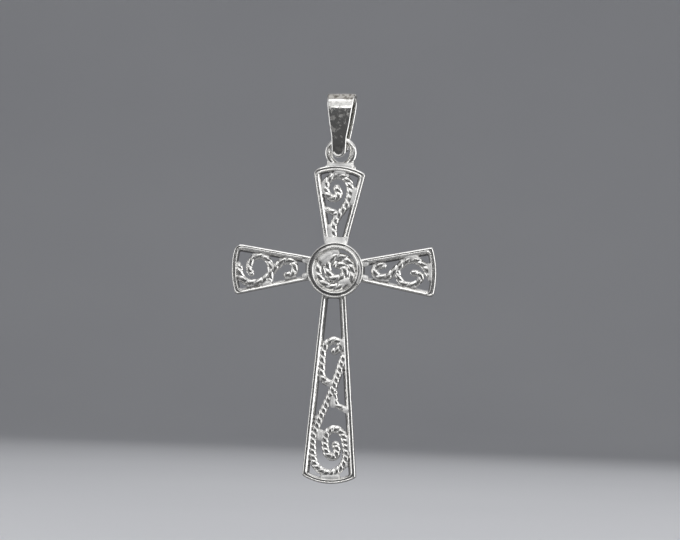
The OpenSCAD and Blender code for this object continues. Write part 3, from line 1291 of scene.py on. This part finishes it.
@dataclass(frozen=True)
class TopLoop:
    """The loop on the top arm, which the bail holds, and its flared foot."""

    x: float = 0.17
    u: float = 14.82
    outer_r: float = 1.99
    wire: float = 0.78
    # How much the wire is hammered out inwards at its sides and below.
    spread: float = 0.17
    spread_top: float = 0.35
    # How much of its left side the bail's edge has worn away, and where.
    wear: float = 0.26
    wear_at: float = 0.32
    wear_span: float = 0.3
    squareness: float = 0.7
    steps: int = 96
    sides: int = 32
    foot_t: float = 0.72
    foot: tuple[complex, ...] = (1.95 + 12.6j, 1.95 + 13j, 1.65 + 13.3j, 1.65 + 13.7j)
    # The foot's top follows the loop between these angles below its right side, in degrees.
    foot_arc: range = range(45, 136, 5)

    def ring(self) -> bpy.types.Mesh:
        """Makes the ring, whose wire is a little flat in front and behind.

        Returns:
            Its closed mesh.
        """
        loops = []
        for i in range(self.steps):
            way = cmath.rect(1, 2 * math.pi * i / self.steps)
            away = way.real ** 2
            low = min(1.0, max(0.0, 1 - way.imag / self.spread_top))
            gap = (way.imag - self.wear_at) / self.wear_span
            worn = self.wear * max(0.0, -way.real) * math.exp(-gap * gap)
            width = self.wire + self.spread * away * low - worn
            square = 1 - (1 - self.squareness) * away
            loop = []
            for j in range(self.sides):
                side = cmath.rect(1, 2 * math.pi * j / self.sides)
                across = math.copysign(abs(side.real) ** square, side.real)
                depth = math.copysign(abs(side.imag) ** square, side.imag)
                place = way * (self.outer_r + (across - 1) * width / 2)
                loop.append((place.real + self.x, -depth * self.wire / 2, place.imag + self.u))
            loops.append(loop)
        return skin("ring", loops, True)

    def parts(self) -> list[bpy.types.Mesh]:
        """Makes the ring and its foot.

        Returns:
            Their closed meshes.
        """
        middle_r = self.outer_r - self.wire / 2
        right = list(self.foot)
        arc = [complex(0, self.u) + polar(middle_r, -angle) for angle in self.foot_arc]
        outline = right + arc + [complex(-p.real, p.imag) for p in reversed(right)]
        loops = [
            [(p.real + self.x, y, p.imag) for p in outline]
            for y in (-self.foot_t / 2, self.foot_t / 2)
        ]
        return [self.ring(), skin("foot", loops, False)]


@dataclass
class CentreDisc(Soldered):
    """The raised rim with a coiled rosette of twisted wire soldered into it."""

    # The rim's section: radius, and height above the middle of the frame.
    rim: tuple[complex, ...] = (
        2.72 - 0.56j, 2.86 - 0.7j, 3.3 - 0.7j, 3.44 - 0.56j, 3.5 + 0.6j, 3.5 + 0.76j,
        3.46 + 0.88j, 3.4 + 0.93j, 3.34 + 0.93j, 3.25 + 0.9j, 3.07 + 0.9j, 2.98 + 0.94j,
        2.9 + 0.96j, 2.84 + 0.96j, 2.77 + 0.9j, 2.72 + 0.76j, 2.7 + 0.58j,
    )
    # The channel along the rim's face, and the degrees of the turn over its left side where it gets
    # tarnish and painted shade.
    channel: complex = 3.15 + 0.9j
    filmed: range = range(115, 285)
    # The short runs of solder that fill the channel to the right: where each one begins and how
    # far round it goes, in degrees, its radius, and how far out and how proud it lies.
    fill_starts: tuple[int, ...] = (68, 44, 20, -4)
    fill_turn: int = 22
    fill_r: float = 0.19
    fill_at: complex = 3.14 + 0.72j
    steps: int = 180

    def parts(self, finish: bpy.types.Material) -> list[bpy.types.Mesh]:
        """The rim, the coil and their solder."""
        rim = lathe("rim", list(self.rim), self.steps)
        return [rim, *super().parts(finish)]

    def runs(self) -> list[Solder]:
        """Finds the runs that fill the channel, after those laid out for the disc.

        Returns:
            All runs of solder.
        """
        out, proud = self.fill_at.real, self.fill_at.imag
        fills = [
            Solder(polar(out, start), polar(out, start - self.fill_turn), self.fill_r, proud)
            for start in self.fill_starts
        ]
        return [*self.solders, *fills]

    def unpolished(self) -> list[Vector]:
        """The channel along the rim over its left side, which gets tarnish and painted shade."""
        places = [polar(self.channel.real, angle) for angle in self.filmed]
        return [Vector((p.real, -self.channel.imag, p.imag)) for p in places]


@dataclass
class FoldedBail(Piece):
    """The bail: a tapered strip folded over the chain.

    Its front runs straight down past the loop to a rounded tongue with a slight flick, and
    its back end curls under the loop to the back of the tongue.
    """

    turn: float = -8.0
    shift: float = -0.05
    strip_t: float = 0.42
    depth: float = 3.0
    top: float = 0.99
    spring_z: float = -1.15
    seat_r: float = 1.0
    seat_z: float = -4.96
    # The tongue's middle in the side view, from its tip upwards.
    tongue: tuple[complex, ...] = (-1.12 - 7.2j, -1.08 - 6.9j, -1.08 - 6.5j, -1.2 - 4.9j)
    tongue_r: float = 0.82
    back_tip_r: float = 0.2
    # The fold's arc, and the curl's arc below its front side, in degrees.
    fold_arc: range = range(0, 181, 10)
    curl_arc: range = range(0, 150, 10)
    # The tongue's face is pressed in a little inside its rim, near its tip.
    press: float = 0.1
    press_rim: float = 0.32
    press_reach: tuple[float, float] = (0.7, 1.5)
    # Half widths at heights down the strip.
    widths: tuple[tuple[float, float], ...] = (
        (0.99, 1.82), (-1.0, 1.57), (-2.9, 1.29), (-4.6, 0.98), (-5.5, 0.93), (-6.2, 0.89)
    )
    # From the strip's edge to its face: how far in and how far down from the face.
    edge: tuple[tuple[float, float], ...] = (
        (0.0, 0.21), (0.006, 0.15), (0.03, 0.085), (0.07, 0.04), (0.13, 0.01), (0.2, 0.0)
    )
    crown: float = 0.03
    across: int = 8
    step: float = 0.1
    tip_rows: int = 14
    line_rounds: int = 2
    way_rounds: int = 3
    # Painted shade on the fold's outside, in the grey of tarnish: it begins where the outside turns
    # up by this share, and is full at the next.
    film_from: float = 0.43
    film_full: float = 0.46

    def middle_line(self) -> list[complex]:
        """The side view of the strip's middle, from the front tip over the fold to the back tip.

        Returns:
            Its points, as depth and height.
        """
        half_t = self.strip_t / 2
        arch = complex(self.depth / 2 - half_t, self.top - half_t - self.spring_z)
        fold = [
            complex(-arch.real * math.cos(a), self.spring_z + arch.imag * math.sin(a))
            for a in map(math.radians, self.fold_arc)
        ]
        curl = [complex(0, self.seat_z) + polar(self.seat_r + half_t, -a) for a in self.curl_arc]
        return [*self.tongue, *fold, *curl]

    def half_width(self, z: float, to_tip: float, to_back: float) -> float:
        """The strip's half width.

        Args:
            z: the height.
            to_tip: the length from the front tip.
            to_back: the length from the back tip.

        Returns:
            The half width, rounded off at the two tips.
        """
        heights, widths = zip(*reversed(self.widths))
        half = float(np.interp(z, heights, widths))
        if to_tip < self.tongue_r:
            gap = 1 - to_tip / self.tongue_r
            return half * math.sqrt(1 - gap * gap)
        if to_back < self.back_tip_r:
            gap = 1 - to_back / self.back_tip_r
            return half - self.back_tip_r * (1 - math.sqrt(1 - gap * gap))
        return half

    def rows(self) -> tuple[np.ndarray, np.ndarray]:
        """Even places along the strip, closer together at its tips.

        Returns:
            The places in the side view and the way the strip faces there.
        """
        line = np.array(self.middle_line())
        for _ in range(self.line_rounds):
            nearer = 0.75 * line[:-1] + 0.25 * line[1:]
            further = 0.25 * line[:-1] + 0.75 * line[1:]
            between = np.stack([nearer, further], 1).ravel()
            line = np.concatenate([line[:1], between, line[-1:]])
        length = np.concatenate([[0], np.cumsum(np.abs(np.diff(line)))])
        tip = self.tongue_r * (1 - np.cos(np.linspace(0, math.pi / 2, self.tip_rows)))
        count = int((length[-1] - 2 * tip[-1]) / self.step)
        between = np.linspace(tip[-1], length[-1] - tip[-1], count)
        at = np.concatenate([tip[:-1], between, length[-1] - tip[-2::-1]])
        places = np.interp(at, length, line.real) + 1j * np.interp(at, length, line.imag)
        ways = np.gradient(places)
        for _ in range(self.way_rounds):
            ways[1:-1] = (ways[:-2] + 2 * ways[1:-1] + ways[2:]) / 4
        return places, 1j * ways / np.abs(ways)

    def build(self, finish: bpy.types.Material) -> bpy.types.Object:
        """Folds the strip and dresses it.

        Args:
            finish: the bail's material.

        Returns:
            The bail.
        """
        places, outs = self.rows()
        length = np.concatenate([[0], np.cumsum(np.abs(np.diff(places)))])
        half = np.array(
            [self.half_width(p.imag, s, length[-1] - s) for p, s in zip(places, length)]
        )
        outline = length + 1j * half
        ways = np.gradient(outline)
        ways[0], ways[-1] = 1j, -1j
        inward = -1j * ways / np.abs(ways)
        pressed = self.press * np.interp(length, self.press_reach, (1, 0))
        loops = []
        for k, place in enumerate(places):
            loop = []
            for along, x, height in self._section(outline[k], inward[k], float(pressed[k])):
                base = place + (along - length[k]) * (-1j) * outs[k]
                spot = base + height * outs[k]
                loop.append((x, spot.real, spot.imag))
            loops.append(loop)
        mesh = skin("bail", loops, False)
        mesh.transform(Matrix.Rotation(math.radians(self.turn), 4, "Z"))
        mesh.transform(Matrix.Translation((self.shift, 0, 0)))
        self._mark(mesh)
        return self.dress(mesh, finish)

    def _section(
        self, edge: complex, inward: complex, pressed: float
    ) -> list[tuple[float, float, float]]:
        """One row of the strip, all the way round.

        Args:
            edge: the row's place along the strip and its half width.
            inward: the way from the strip's edge to its inside.
            pressed: how deep the face is pressed in there.

        Returns:
            Its points, as place along the strip, place across it and height above its middle.
        """
        half_t = self.strip_t / 2
        sides = [(d, half_t - down, half_t - down) for d, down in self.edge]
        sides.append((self.press_rim, half_t - pressed, half_t))
        right = [(edge + d * inward, outside, inside) for d, outside, inside in sides]
        right = [(complex(p.real, max(0.0, p.imag)), a, b) for p, a, b in right]
        inner, outside, inside = right[-1]
        shares = [1 - 2 * i / self.across for i in range(1, self.across)]
        rises = [(s, self.crown * (1 - s * s) * min(1, inner.imag)) for s in shares]
        row = [(p.real, p.imag, a, b) for p, a, b in right]
        row += [(inner.real, s * inner.imag, outside + r, inside + r) for s, r in rises]
        row += [(p.real, -p.imag, a, b) for p, a, b in reversed(right)]
        front = [(u, x, a) for u, x, a, _ in row]
        return front + [(u, x, -b) for u, x, _, b in row[-2:0:-1]]

    def _mark(self, mesh: bpy.types.Mesh) -> None:
        """Stores painted shade, in the grey of tarnish, on the upturned outside of the fold, for
        the material.

        Args:
            mesh: the strip's mesh.
        """
        # Painted shade: the fold's outside is darker where it faces up.
        upwards = rows_of(mesh, "normal")[:, 2]
        film = np.clip((upwards - self.film_from) / (self.film_full - self.film_from), 0, 1)
        film[rows_of(mesh)[:, 2] < self.spring_z] = 0
        store(mesh, "hollow", film)
        store(mesh, "face", np.zeros(len(film)))


# Studio


@dataclass(frozen=True)
class Panel:
    """A soft panel of light that faces the pendant, in metres."""

    name: str
    place: tuple[float, float, float]
    size: tuple[float, float]
    light: float

    def hang(self) -> None:
        """Hangs the panel, whose surface is equally bright at any size."""
        data = bpy.data.lights.new(self.name, "AREA")
        data.shape = "RECTANGLE"
        data.size, data.size_y = self.size
        data.energy = self.light * math.pi * self.size[0] * self.size[1]
        obj = scratch_object(self.name, data)
        aim = (DISC * MM - Vector(self.place)).to_track_quat("-Z", "Y")
        obj.matrix_world = Matrix.Translation(self.place) @ aim.to_matrix().to_4x4()
        obj.visible_camera = False


@dataclass(frozen=True)
class Shade:
    """How the tent's light changes with the way a ray takes along one axis."""

    axis: str
    start: float
    end: float
    light_start: float
    light_end: float


@dataclass
class Studio:
    """The camera, the pale floor that rises into a backdrop, and soft panels of light."""

    azimuth: float = 3.5
    elevation: float = -4.0
    roll: float = 2.0
    distance: float = 0.2361
    lens: float = 100.0
    sensor: float = 36.0
    clip_start: float = 0.01
    px_per_mm: float = 8.0
    disc_px: tuple[float, float] = (335.5, 270.6)
    # The paper sweep, in metres.
    floor_z: float = -0.062
    floor_front: float = -1.4
    wall_y: float = 1.3
    wall_top: float = 1.4
    sweep_half: float = 1.8
    bend_r: float = 0.5
    bend_arc: range = range(6, 85, 6)
    # Bright to the right and in front above, weaker elsewhere.
    panels: tuple[Panel, ...] = (
        Panel("right_panel", (0.42, -0.05, 0.02), (0.46, 0.45), 1.6),
        Panel("front_panel", (0.04, -0.34, 0.31), (0.6, 0.34), 0.65),
        Panel("front_strip", (0.04, -0.46, 0.155), (0.5, 0.08), 2.2),
        Panel("upper_strip", (0.04, -0.22, 0.4), (0.5, 0.01), 0.35),
        Panel("top_panel", (0.0, 0.0, 0.42), (0.6, 0.36), 1.15),
        Panel("left_panel", (-0.45, -0.06, 0.02), (0.35, 0.4), 1.0),
        Panel("back_panel", (0.1, 0.5, 0.35), (0.6, 0.4), 0.8),
    )
    # What the metal mirrors of the tent: dark in front, and dimmer below and behind.
    shades: tuple[Shade, ...] = (
        Shade("Y", -0.9, -0.3, 0.08, 0.62),
        Shade("Z", -0.8, 0.0, 0.6, 1.0),
        Shade("Y", 0.25, 0.6, 1.0, 0.3),
    )
    tent_colour: str = "f4f5f8"
    tent_light: float = 0.25

    def camera(self) -> None:
        """Aims the camera as the photograph was taken."""
        az, el, roll = (math.radians(a) for a in (self.azimuth, self.elevation, self.roll))
        back = Vector(
            (math.sin(az) * math.cos(el), -math.cos(az) * math.cos(el), math.sin(el))
        )
        level = Vector((math.cos(az), math.sin(az), 0))
        upright = back.cross(level)
        right = level * math.cos(roll) + upright * math.sin(roll)
        up = upright * math.cos(roll) - level * math.sin(roll)
        x = (FRAME_PX[0] / 2 - self.disc_px[0]) / self.px_per_mm
        z = (self.disc_px[1] - FRAME_PX[1] / 2) / self.px_per_mm
        target = (DISC + right * x + up * z) * MM
        data = bpy.data.cameras.new("camera")
        data.lens = self.lens
        data.sensor_width = self.sensor
        data.clip_start = self.clip_start
        camera = scratch_object("camera", data)
        axes = Matrix((right, up, back)).transposed().to_4x4()
        camera.matrix_world = Matrix.Translation(target + back * self.distance) @ axes
        bpy.context.scene.camera = camera

    def floor(self) -> None:
        """Lays a matt paper sweep under and behind the pendant."""
        centre = complex(self.wall_y - self.bend_r, self.floor_z + self.bend_r)
        section = [complex(self.floor_front, self.floor_z), centre - self.bend_r * 1j]
        section += [centre + polar(self.bend_r, angle - 90) for angle in self.bend_arc]
        section += [centre + self.bend_r, complex(self.wall_y, self.wall_top)]
        points = [(x, p.real, p.imag) for x in (-self.sweep_half, self.sweep_half) for p in section]
        n = len(section)
        mesh = bpy.data.meshes.new("paper_sweep")
        mesh.from_pydata(points, [], [(i, i + n, i + n + 1, i + 1) for i in range(n - 1)])
        mesh.shade_smooth()
        mesh.materials.append(MattPaper().material())
        sweep = scratch_object("paper_sweep", mesh)
        sweep.visible_glossy = False

    def tent(self) -> None:
        """Surrounds the pendant: pale for the camera, and darker in front for the metal."""
        world = bpy.data.worlds.new("tent")
        bpy.context.scene.world = world
        add = empty_nodes(world)
        way = add("ShaderNodeTexCoord").outputs["Generated"]
        parts = add("ShaderNodeSeparateXYZ", {0: way}).outputs
        tones = [
            add(REMAP, {
                "Value": parts[shade.axis], "From Min": shade.start, "From Max": shade.end,
                "To Min": shade.light_start, "To Max": shade.light_end,
            })
            for shade in self.shades
        ]
        tone = tones[0]
        for other in tones[1:]:
            tone = add(MATH, {0: tone, 1: other}, operation="MULTIPLY")
        mirrored = add("ShaderNodeLightPath").outputs["Is Glossy Ray"]
        strength = add(MIX, {0: mirrored, 2: self.tent_light, 3: tone}, data_type="FLOAT")
        background = {"Color": linear(self.tent_colour), "Strength": strength}
        light = add("ShaderNodeBackground", background)
        add("ShaderNodeOutputWorld", {"Surface": light})

    def build(self) -> None:
        """Sets the whole studio up."""
        bpy.context.scene.view_settings.view_transform = "Standard"
        self.camera()
        self.floor()
        for panel in self.panels:
            panel.hang()
        self.tent()


# The arms and the disc of this cross


def right_arm() -> OpenArm:
    """The right arm with its open scroll and its coil."""
    return OpenArm(
        "right_arm", Body.CROSS, DISC, arm=Arm.RIGHT, neck=(1.42, 1.25),
        foot_left=(12.05, 3.27), foot_right=(12.3, 3.02), crown_u=12.62, corner=(0.3, 0.5),
        window_u=3.65, extra=(0.02, -0.15, -0.05),
        wires=(
            Wire(1.0, 2.0, (
                (6.15, 0.4, 95), (5.6, 0.78, 180), (4.9, 0.1, 268), (5.8, -0.7, 358),
                (6.9, -0.35, 408), (8.1, 0.85, 405), (9.6, 1.62, 364), (10.85, 1.05, 326),
                (11.55, 0.15, 295), (11.8, -0.7, 280),
            )),
            Wire(0.86, 2.1, (
                (7.65, 0.45, 275), (7.85, -0.5, 288), (9, -1.55, 355), (10.2, -1.25, 400),
                (10.7, -0.5, 455), (10.1, -0.05, 535), (9.3, -0.15, 570),
            )),
        ),
        solders=(
            Solder(3.45 + 0.95j, 3.8 + 1.02j, 0.42, 0.22),
            Solder(3.45 - 0.8j, 3.8 - 0.88j, 0.42, 0.22),
            Solder(7.45 + 0.3j, 7.8 + 0.5j, 0.38, 0.12),
            Solder(11.75 + 0.9j, 11.9 - 0.4j, 0.42, 0.15),
            Solder(8.9 + 2j, 10 + 1.95j, 0.38, 0.15),
        ),
    )


def top_arm() -> OpenArm:
    """The top arm with its spiral scroll and the loop."""
    return OpenArm(
        "top_arm", Body.CROSS, DISC, arm=Arm.TOP, neck=(1.4, 1.25),
        foot_left=(12.5, 3.2), foot_right=(12.15, 3.4), crown_u=13.15, corner=(0.6, 0.4),
        window_u=3.85, extra=(0.05, 0, -0.05),
        climb=((3.25, 0.88), (3.55, 0.8), (4.15, 0.6)),
        wires=(
            Wire(1.04, 1.6, (
                (-0.35, 3.2, 90), (-0.42, 5.2, 90), (0.35, 7.2, 52), (1.35, 8.9, 72),
                (1.55, 10.1, 92), (0, 11.95, 180), (-1.6, 10.5, 268), (-0.5, 9.05, 360),
                (0.1, 9.6, 450), (-0.5, 10.65, 490),
            )),
            Wire(0.86, 1.6, ((-1.6, 7.6, 355), (-0.7, 7.35, 335), (0.1, 6.9, 325))),
        ),
        solders=(
            Solder(-0.95 + 5.3j, -0.8 + 4.1j, 0.45, 0.18),
            Solder(1.85 + 8.6j, 2.15 + 10.1j, 0.42, 0.18),
            Solder(-1.75 + 10.9j, -1.8 + 9.9j, 0.38, 0.15),
            Solder(-1.9 + 7.7j, -1.5 + 7.6j, 0.35, 0.15),
            Solder(-0.2 + 12.35j, 0.5 + 12.35j, 0.42, 0.16),
            Solder(-1.05 + 13.08j, 0.17 + 13.2j, 0.45, 0.16),
            Solder(0.17 + 13.2j, 1.42 + 13.08j, 0.45, 0.16),
        ),
        loop=TopLoop(),
    )


def left_arm() -> OpenArm:
    """The left arm with its hook and its open scroll."""
    return OpenArm(
        "left_arm", Body.CROSS, DISC, arm=Arm.LEFT, neck=(1.2, 1.6),
        foot_left=(12.4, 3.42), foot_right=(12.6, 3.02), crown_u=13.02, corner=(0.35, 0.9),
        window_u=3.75, extra=(-0.2, 0, -0.1),
        wires=(
            Wire(1.0, 2.0, (
                (-12.1, 0.45, 268), (-11.95, -0.75, 285), (-10.5, -1.9, 358),
                (-9.2, -1.65, 385), (-8, -0.45, 412), (-7.1, 0.6, 408), (-5.9, 1.05, 358),
                (-5.1, 0.15, 270), (-5.6, -0.75, 190), (-6.35, -0.45, 110),
            )),
            Wire(0.86, 2.1, (
                (-10.15, -0.8, 170), (-10.85, -0.1, 95), (-10.5, 1.05, 55), (-9.3, 1.5, -5),
                (-8.3, 0.7, -60), (-8.1, -0.3, -88), (-8.2, -1.9, -92),
            )),
        ),
        solders=(
            Solder(-3.45 + 1.12j, -3.8 + 1.18j, 0.42, 0.22),
            Solder(-3.45 - 0.78j, -3.8 - 0.85j, 0.42, 0.22),
            Solder(-7.75 + 0.2j, -8.05 + 0.4j, 0.35, 0.12),
            Solder(-8.7 - 2j, -8.3 - 1.8j, 0.42, 0.12),
        ),
    )


def bottom_arm() -> OpenArm:
    """The long bottom arm with its upper hook and its long scroll."""
    return OpenArm(
        "bottom_arm", Body.CROSS, DISC, arm=Arm.BOTTOM, neck=(1.42, 1.6),
        foot_left=(25.65, 3.45), foot_right=(25.55, 3.27), crown_u=26.5, corner=(0.35, 0.4),
        window_u=3.5, extra=(0.05, 0, -0.15), triangles=190_000,
        wires=(
            Wire(0.98, 1.66, (
                (-0.2, -10.3, 30), (0.8, -9.8, 40), (1, -9.3, 100), (0.2, -8.75, 180),
                (-1.05, -9.7, 250), (-1.25, -11, 270), (-1.3, -12.7, 270),
                (-0.85, -13.75, 318), (0.2, -14.15, 360),
            )),
            Wire(1.02, 1.36, (
                (1.6, -10.3, 250), (0.85, -12.7, 254), (0.05, -15.2, 251), (-1.1, -18, 248),
                (-1.9, -20.3, 256), (-2.05, -22.2, 273), (-1.5, -24.4, 310),
                (0.1, -25.2, 360), (1.75, -24.2, 415), (2.1, -22.2, 455),
                (0.6, -19.75, 540), (-0.55, -21.3, 635), (0.45, -23.2, 715),
                (1, -22.3, 810), (0.45, -21.3, 850),
            )),
            Wire(0.8, 1.5, ((0.4, -14.8, 275), (0.6, -16.4, 285), (2.2, -17.3, 345))),
        ),
        solders=(
            Solder(1.15 - 8.9j, 1.25 - 9.3j, 0.4, 0.15),
            Solder(1.6 - 10.8j, 1.6 - 11.5j, 0.35, 0.15),
            Solder(0.2 - 15.9j, 0.3 - 16.7j, 0.42, 0.15),
            Solder(1.9 - 17.3j, 2.2 - 17.45j, 0.42, 0.18),
            Solder(-1.1 - 20.3j, -1.15 - 20.8j, 0.48, 0.18),
            Solder(-0.6 - 25.7j, 1.1 - 25.6j, 0.42, 0.15),
            Solder(2.3 - 20.8j, 2.5 - 22.2j, 0.35, 0.15),
            Solder(-0.45 - 14.05j, -0.1 - 14.2j, 0.4, 0.12),
        ),
    )


def centre_disc() -> CentreDisc:
    """The disc with its coil of two turns and a half."""
    return CentreDisc(
        "centre_disc", Body.CROSS, DISC,
        wires=(
            Wire(1.13, 2.1, (
                (-0.1, 2.25, 188), (-2.17, 0, 270), (-0.1, -2.15, 360), (2.15, -0.3, 450),
                (0.35, 1.72, 540), (-1.02, 0.4, 630), (0.1, -1.08, 720), (1.22, -0.15, 810),
                (0.5, 0.7, 900), (-0.25, 0.4, 950),
            ), proud=0.5),
        ),
        solders=(
            Solder(-1.7 + 1.35j, -0.8 + 2.0j, 0.62, 0.3),
            Solder(-1.35 + 1.05j, -0.6 + 1.6j, 0.52, 0.35),
            Solder(-0.3 + 2.3j, 0.1 + 2.3j, 0.4, 0.42),
            Solder(0.85 - 1.45j, 1.5 - 1.35j, 0.5, 0.38),
            Solder(0.9 - 1.8j, 1.7 - 1.6j, 0.5, 0.34),
            Solder(-2.58 - 0.9j, -2.6 + 0.6j, 0.28, 0.5),
            Solder(2.3 - 0.4j, 2.8 - 0.45j, 0.25, 0.5),
            Solder(-1.0 - 2.6j, 0.1 - 2.75j, 0.36, 0.28),
            Solder(0.1 - 2.75j, 1.3 - 2.5j, 0.36, 0.28),
        ),
    )


def main() -> None:
    """Builds the studio and the pendant."""
    logging.basicConfig(level=logging.INFO, format="%(name)s %(message)s")
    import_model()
    Studio().build()
    LOG.info("studio set up")
    cross_silver = CastSilver("cast_silver").material()
    # The bail's grey paints shade on the top of its fold, and its clouds are random tarnish.
    bail_silver = CastSilver(
        "rolled_silver", film="706c66", smooth=0.12, dull=0.7, cloud_mm=0.55, bump_mm=0.012,
        film_most=0.8, cloud_most=0.55,
    ).material()
    for piece in (right_arm(), top_arm(), left_arm(), bottom_arm(), centre_disc()):
        obj = piece.build(cross_silver)
        LOG.info("%s: %d faces", piece.name, len(obj.data.polygons))
    bail = FoldedBail("bail_strip", Body.BAIL, Vector()).build(bail_silver)
    LOG.info("bail_strip: %d faces", len(bail.data.polygons))


if __name__ == "__main__":
    main()
